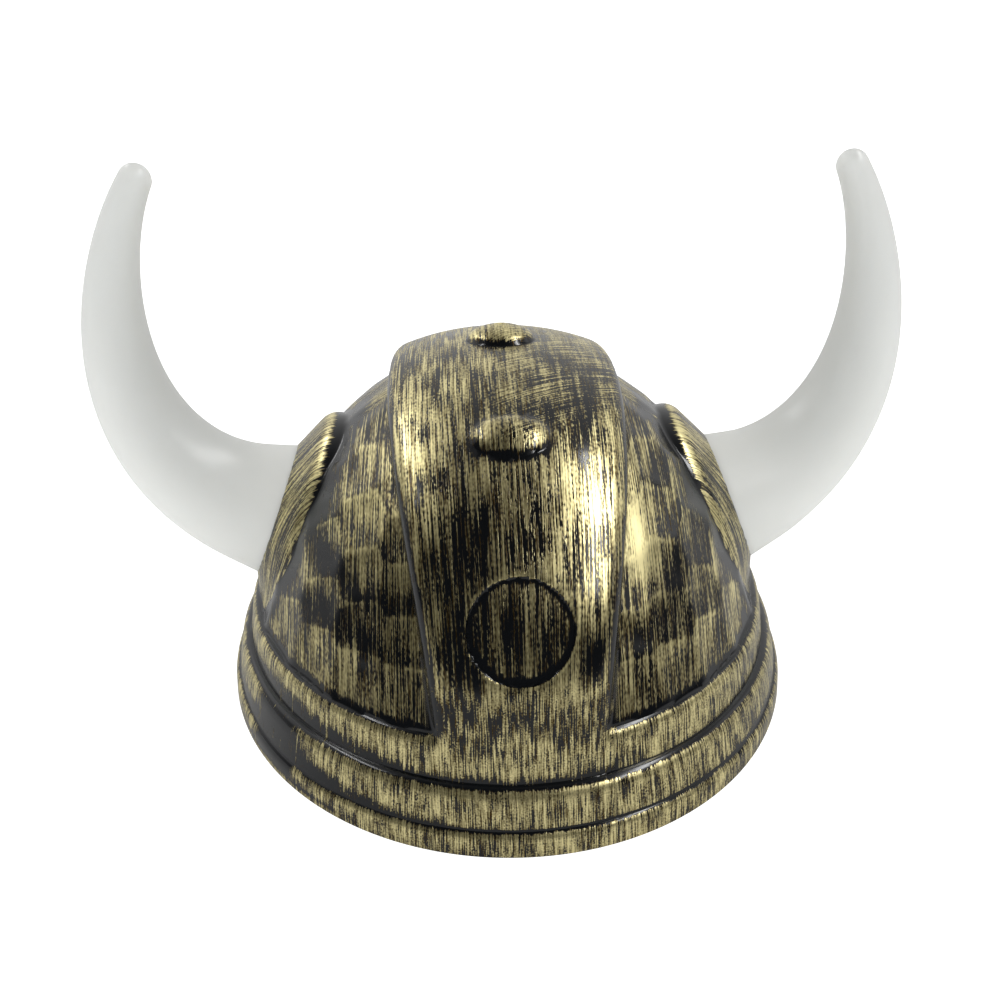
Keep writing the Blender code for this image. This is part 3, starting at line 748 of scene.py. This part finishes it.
finish = bpy.data.materials.new("gold dry-brushed black styrene")
finish.use_nodes = True
tree = finish.node_tree
tree.nodes.clear()
down_part = add_node(tree, "Attribute", {}, 1, attribute_name="brush_way")
slanting = add_node(tree, "Mapping", {0: down_part, 2: (0, CROSS_TURN, 0)})
marks = {}
for name, (across, along, detail, _) in (*MARKS.items(), ("crossing", MARKS["bristles"])):
    stroke = slanting if name == "crossing" else down_part
    stroke = add_node(tree, "Mapping", {0: stroke, 3: (1 / across, 1 / across, 1 / along)})
    looks = {"Vector": stroke, "Scale": 1.0, "Detail": detail, "Roughness": MARK_ROUGHNESS}
    marks[name] = add_node(tree, "TexNoise", looks)
crossed = add_node(tree, "Attribute", {}, 2, attribute_name="crossed")
both = {0: crossed, 2: marks["bristles"], 3: marks["crossing"]}
marks["bristles"] = add_node(tree, "Mix", both, data_type="FLOAT")

# The paint covers where the load is more than the dryness, a weighted sum of the marks about their middle
dryness = MIDDLE_DRYNESS
for name, (_, _, _, weight) in MARKS.items():
    share = add_node(tree, "Math", {0: marks[name], 1: weight, 2: -weight / 2}, operation="MULTIPLY_ADD")
    dryness = add_node(tree, "Math", {0: share, 1: dryness}, operation="ADD")
gold_load_and_highlight = add_node(tree, "Attribute", {}, 2, attribute_name="gold_load_and_highlight")
spare = add_node(tree, "Math", {0: gold_load_and_highlight, 1: dryness}, operation="SUBTRACT")
gold = add_node(tree, "MapRange", {0: spare, 1: GOLD_EDGE[0], 2: GOLD_EDGE[1], 3: 0.0, 4: 1.0})
depth = add_node(tree, "Math", {0: marks["hairs"], 1: HAIRS_IN_DEPTH, 2: spare}, operation="MULTIPLY_ADD")
thick = add_node(tree, "MapRange", {0: depth, 1: GOLD_DEPTH[0], 2: GOLD_DEPTH[1], 3: 0.0, 4: 1.0})
tone = add_node(tree, "Mix", {0: thick, 6: linear(GOLD_THIN), 7: linear(GOLD)}, 2, data_type="RGBA")
colour = add_node(tree, "Mix", {0: gold, 6: linear(BLACK), 7: tone}, 2, data_type="RGBA")
metal = add_node(tree, "Math", {0: gold, 1: GOLD_METAL}, operation="MULTIPLY")
rough = add_node(tree, "Mix", {0: gold, 2: BLACK_ROUGH, 3: GOLD_ROUGH}, data_type="FLOAT")
relief = add_node(tree, "Bump", {"Strength": 0.5, "Distance": FILM_MM * MM, "Height": gold})
surface = add_node(
    tree,
    "BsdfPrincipled",
    {
        "Base Color": colour,
        "Metallic": metal,
        "Roughness": rough,
        "IOR": 1.55,
        "Specular IOR Level": 0.35,
        "Normal": relief,
    },
)
add_node(tree, "OutputMaterial", {0: surface})
shell.data.materials.clear()
shell.data.materials.append(finish)
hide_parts("shell")
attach(shell, "root")


# ------------------------------------------------------------------------------------------------------------
# The horns: two hollow mouldings of milky polyethylene, open at the root, each pushed through its socket from
# inside until the flange on its root stops it. Both are the same moulding, turned a little in its socket.
# ------------------------------------------------------------------------------------------------------------
# Sections from root to tip: share of the length, turn up from the horn's axis in degrees, outer radius
HORN_SECTIONS = (
    (0.0, -4.7, 0.0236),
    (0.2, 19.6, 0.0183),
    (0.4, 45.2, 0.0145),
    (0.6, 66.2, 0.0111),
    (0.8, 81.6, 0.0080),
    (1.0, 98.9, 0.0052),
)
HORN_LENGTH = 0.1371
HORN_WALL = 0.0018
HORN_SIDES = 96
HORN_RINGS = 121
INNER_RING_EVERY = 4
TIP_RINGS = 8
# The sections turn from square to the socket to square to the line over this share of the length
HORN_SETTLE = 0.10
# Side, turn of the axis toward the front and turn of the curl toward the front, in degrees
HORN_SEATS = {"horn_left": (-1, 5.0, 1.0), "horn_right": (1, -8.5, 6.0)}
FLANGE_RADIUS = 0.0262
FLANGE_THICKNESS = 0.0016
FLANGE_CHAMFER = 0.0003
FLANGE_PLAY = 0.0010


def horn_line(seat, count):
    """A horn's middle line, the way square to each section, outer radii, and its socket's axis and front.

    The line turns up from its axis by a quartic in its length, and its radius is another.
    """
    side, lean, curl = seat
    middle, axis, forward, up = socket_frame(side)
    table = np.array(HORN_SECTIONS)
    shares = np.linspace(0, 1, count)
    turns = np.radians(np.polyval(np.polyfit(table[:, 0], table[:, 1], 4), shares))
    radii = np.polyval(np.polyfit(table[:, 0], table[:, 2], 4), shares)
    radii[0] = SOCKET_MOUTH_RADIUS
    ahead = axis + np.tan(np.radians(lean)) * forward
    ahead /= np.linalg.norm(ahead)
    upward = up - (up @ ahead) * ahead
    upward /= np.linalg.norm(upward)
    sideways = np.cross(upward, ahead)
    sideways *= np.sign(sideways @ forward)
    curl = np.radians(curl)
    bend = np.cos(curl) * upward + np.sin(curl) * sideways
    ways = np.cos(turns)[:, None] * ahead + np.sin(turns)[:, None] * bend
    steps = (ways[1:] + ways[:-1]) / 2 * HORN_LENGTH / (count - 1)
    places = middle + np.vstack([np.zeros(3), np.cumsum(steps, axis=0)])
    settle = np.clip(shares / HORN_SETTLE, 0, 1)[:, None]
    squares = axis * (1 - settle) + ways * settle
    return places, squares / np.linalg.norm(squares, axis=1, keepdims=True), radii, axis, forward


def rings_round(places, squares, radii, forward):
    """Circles square to a line of directions, each with its first point toward the front."""
    first = forward - (squares @ forward)[:, None] * squares
    first /= np.linalg.norm(first, axis=1, keepdims=True)
    second = np.cross(squares, first)
    turns = np.arange(HORN_SIDES) * 2 * np.pi / HORN_SIDES
    spoke = np.cos(turns)[None, :, None] * first[:, None] + np.sin(turns)[None, :, None] * second[:, None]
    return places[:, None] + radii[:, None, None] * spoke


def horn_mesh(name, seat):
    """Rings from the inner tip down to the root, round the flange, and up the outside to the tip."""
    places, squares, radii, axis, forward = horn_line(seat, HORN_RINGS)
    slope = SOCKET_HEIGHT / (SOCKET_FOOT_RADIUS - SOCKET_MOUTH_RADIUS)
    shoulder = slope * (FLANGE_RADIUS - SOCKET_MOUTH_RADIUS) + SHELL_WALL * np.hypot(1, slope) + FLANGE_PLAY
    foot = shoulder + FLANGE_THICKNESS
    caps = np.radians(np.linspace(0, 90, TIP_RINGS + 2))[1:-1, None]
    tip, end, tip_radius = places[-1], squares[-1], radii[-1]
    inner_tip = tip_radius - HORN_WALL
    every = slice(None, None, -INNER_RING_EVERY)
    root = [
        (foot, SOCKET_MOUTH_RADIUS - HORN_WALL),
        (foot, FLANGE_RADIUS - FLANGE_CHAMFER),
        (foot - FLANGE_CHAMFER, FLANGE_RADIUS),
        (shoulder, FLANGE_RADIUS),
        (shoulder, SOCKET_MOUTH_RADIUS),
    ]
    back = np.array([-distance for distance, _ in root])[:, None]
    line = np.vstack([
        tip + inner_tip * np.sin(caps[::-1]) * end,
        places[every],
        places[0] + back * axis,
        places,
        tip + tip_radius * np.sin(caps) * end,
    ])
    squares = np.vstack([
        np.tile(end, (len(caps), 1)),
        squares[every],
        np.tile(axis, (len(root), 1)),
        squares,
        np.tile(end, (len(caps), 1)),
    ])
    sizes = np.concatenate([
        inner_tip * np.cos(caps[::-1, 0]),
        radii[every] - HORN_WALL,
        [radius for _, radius in root],
        radii,
        tip_radius * np.cos(caps[:, 0]),
    ])
    rings = rings_round(line, squares, sizes, forward)
    points = np.concatenate([rings.reshape(-1, 3), [tip + inner_tip * end, tip + tip_radius * end]])
    first, last = np.arange(HORN_SIDES), np.arange(HORN_SIDES) + (len(rings) - 1) * HORN_SIDES
    faces = [
        ring_quads(0, len(rings), HORN_SIDES, True),
        fan(first, len(points) - 2, False),
        fan(last, len(points) - 1, True),
    ]
    made = add_piece(name, points, faces)
    bm = bmesh.new()
    bm.from_mesh(made.data)
    bmesh.ops.recalc_face_normals(bm, faces=bm.faces)
    bm.to_mesh(made.data)
    bm.free()
    smooth_shading(made)
    return made


# Milky low-density polyethylene, injection moulded in a finely blasted tool: waxy, and light enters it a
# little. The blast's real grain is about 0.1 mm, and it is drawn coarser so that it shows
MILK = "#dfe0da"
MILK_DEEP = "#dadbd5"
CLOUD_MM = 60.0
CLOUD_SPREAD = (0.35, 0.65)
WAX_GRAIN_MM = 0.8
WAX_GRAIN_SPREAD = (0.3, 0.7)
WAX_ROUGH = (0.33, 0.39)
WAX_RELIEF_MM = 0.03
horn_plastic = bpy.data.materials.new("milky blasted polyethylene")
horn_plastic.use_nodes = True
tree = horn_plastic.node_tree
tree.nodes.clear()
place = add_node(tree, "TexCoord", {}, "Object")
cloud = add_node(tree, "TexNoise", {"Vector": place, "Scale": 1 / (CLOUD_MM * MM), "Detail": 1.0})
grain = add_node(tree, "TexNoise", {"Vector": place, "Scale": 1 / (WAX_GRAIN_MM * MM), "Detail": 2.0})
share = add_node(tree, "MapRange", {0: cloud, 1: CLOUD_SPREAD[0], 2: CLOUD_SPREAD[1], 3: 0.0, 4: 1.0})
colour = add_node(tree, "Mix", {0: share, 6: linear(MILK_DEEP), 7: linear(MILK)}, 2, data_type="RGBA")
roughness = {1: WAX_GRAIN_SPREAD[0], 2: WAX_GRAIN_SPREAD[1], 3: WAX_ROUGH[0], 4: WAX_ROUGH[1]}
rough = add_node(tree, "MapRange", {0: grain, **roughness})
relief = add_node(tree, "Bump", {"Strength": 0.10, "Distance": WAX_RELIEF_MM * MM, "Height": grain})
surface = add_node(
    tree,
    "BsdfPrincipled",
    {
        "Base Color": colour,
        "Roughness": rough,
        "IOR": 1.51,
        "Subsurface Weight": 0.80,
        "Subsurface Radius": (1.0, 0.95, 0.9),
        "Subsurface Scale": 0.008,
        "Normal": relief,
    },
)
add_node(tree, "OutputMaterial", {0: surface})

for name, seat in HORN_SEATS.items():
    horn = horn_mesh(name.replace("horn_", "") + "_horn", seat)
    horn.data.materials.append(horn_plastic)
    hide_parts(name)
    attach(horn, "root")


# ------------------------------------------------------------------------------------------------------------
# The floor, the light and the camera: a white table in a white room. At each side a strip and a broad lamp
# show in the gloss, and a fill in front lights the milky horns. The gloss finds the table and the room dimmer
# than they are, as if dark screens stood round them, so that the black stays black beside the white.
# ------------------------------------------------------------------------------------------------------------
TABLE_WHITE = "#c8c8c8"
TABLE_GLOW, TABLE_GLOW_IN_GLOSS = 0.97, 0.12
TABLE_BACK = 6.0
TABLE_FRONT = 0.8
white = bpy.data.materials.new("white table")
white.use_nodes = True
tree = white.node_tree
tree.nodes.clear()
glossy = add_node(tree, "LightPath", {}, "Is Glossy Ray")
glow = add_node(tree, "MapRange", {0: glossy, 3: TABLE_GLOW, 4: TABLE_GLOW_IN_GLOSS})
surface = add_node(
    tree,
    "BsdfPrincipled",
    {
        "Base Color": linear(TABLE_WHITE),
        "Roughness": 0.9,
        "Emission Color": (1, 1, 1, 1),
        "Emission Strength": glow,
    },
)
add_node(tree, "OutputMaterial", {0: surface})
corners = np.array([
    (-TABLE_BACK, -TABLE_FRONT, 0),
    (TABLE_BACK, -TABLE_FRONT, 0),
    (TABLE_BACK, TABLE_BACK, 0),
    (-TABLE_BACK, TABLE_BACK, 0),
])
floor = add_piece("table", corners, [np.array([[0, 1, 2, 3]])])
floor.data.materials.append(white)
# The table and the room shine evenly, so bounced rays find them and neither is sampled as a lamp, which would
# take time from the real lamps
white.cycles.emission_sampling = "NONE"

# The room is white, but the gloss finds it dim toward the front and brighter toward the back
ROOM, ROOM_SEEN = 0.90, 1.1
ROOM_IN_GLOSS = (0.06, 0.75)
ROOM_IN_GLOSS_TURN = (-0.10, 0.80)
room = bpy.data.worlds.new("white room")
bpy.context.scene.world = room
room.cycles.sampling_method = "NONE"
room.use_nodes = True
tree = room.node_tree
tree.nodes.clear()
direction = add_node(tree, "TexCoord", {}, "Generated")
deep = add_node(tree, "SeparateXYZ", {0: direction}, 1)
turned = {1: ROOM_IN_GLOSS_TURN[0], 2: ROOM_IN_GLOSS_TURN[1], 3: ROOM_IN_GLOSS[0], 4: ROOM_IN_GLOSS[1]}
mirrored = add_node(tree, "MapRange", {0: deep, **turned}, interpolation_type="SMOOTHSTEP")
glossy = add_node(tree, "LightPath", {}, "Is Glossy Ray")
shade = add_node(tree, "Mix", {0: glossy, 2: ROOM, 3: mirrored}, data_type="FLOAT")
shown = add_node(tree, "LightPath", {}, "Is Camera Ray")
shade = add_node(tree, "Mix", {0: shown, 2: shade, 3: ROOM_SEEN}, data_type="FLOAT")
sky = add_node(tree, "Background", {0: (1, 1, 1, 1), 1: shade})
add_node(tree, "OutputWorld", {0: sky})

# Soft boxes: turn from the front and height in degrees, distance, size across and up, turn of the box in
# degrees, power in watts, and whether it is for the gloss or for the milky horns
LAMPS_FACE = Vector((0, 0, 0.06))
LIGHTS = {
    "right_strip": (71.0, 51.5, 1.4, 1.50, 0.14, 33.0, 13.0, True),
    "right_glow": (92.0, 30.0, 1.3, 1.20, 0.50, 0.0, 1.3, True),
    "left_strip": (-120.0, 51.0, 1.3, 0.90, 0.045, 24.0, 2.6, True),
    "left_glow": (-118.0, 32.0, 1.3, 1.00, 0.60, 0.0, 0.9, True),
    "front_fill": (-4.0, 20.0, 1.6, 1.20, 0.80, 0.0, 0.9, False),
}
for name, (turn, height, away, wide, tall, twist, power, gloss) in LIGHTS.items():
    lamp = bpy.data.lights.new(name, "AREA")
    lamp.shape = "RECTANGLE"
    lamp.size, lamp.size_y, lamp.energy = wide, tall, power
    made = bpy.data.objects.new(name, lamp)
    made.visible_glossy, made.visible_diffuse = gloss, not gloss
    turn, height = np.radians((turn, height))
    toward = Vector((np.sin(turn) * np.cos(height), -np.cos(turn) * np.cos(height), np.sin(height)))
    made.location = LAMPS_FACE + away * toward
    facing = toward.to_track_quat("Z", "Y").to_matrix() @ Matrix.Rotation(np.radians(twist), 3, "Z")
    made.rotation_euler = facing.to_euler()
    bpy.context.scene.collection.objects.link(made)

bpy.context.scene.view_settings.view_transform = "Standard"

# The camera stands 387 mm from the middle of the helmet, above it and a little toward -X. Its rise, turn and
# roll are in radians, its lens is in widths of its sensor, and its shift in widths of the frame
AIM = Vector((0, 0, 0.055))
CAMERA_DISTANCE = 0.3874
CAMERA_RISE = 0.3728
CAMERA_TURN = 0.0371
CAMERA_ROLL = 0.0156
CAMERA_LENS = 1.05
CAMERA_SHIFT = (-0.0030, -0.0025)
CAMERA_SEES = (0.01, 50)
camera = bpy.data.cameras.new("camera")
camera.lens = CAMERA_LENS * camera.sensor_width
camera.shift_x, camera.shift_y = CAMERA_SHIFT
camera.clip_start, camera.clip_end = CAMERA_SEES
viewer = bpy.data.objects.new("camera", camera)
back = Vector((
    -np.sin(CAMERA_TURN) * np.cos(CAMERA_RISE),
    -np.cos(CAMERA_TURN) * np.cos(CAMERA_RISE),
    np.sin(CAMERA_RISE),
))
viewer.location = AIM + CAMERA_DISTANCE * back
level = (-back).to_track_quat("-Z", "Y").to_matrix()
viewer.rotation_euler = (level @ Matrix.Rotation(-CAMERA_ROLL, 3, "Z")).to_euler()
bpy.context.scene.collection.objects.link(viewer)
bpy.context.scene.camera = viewer
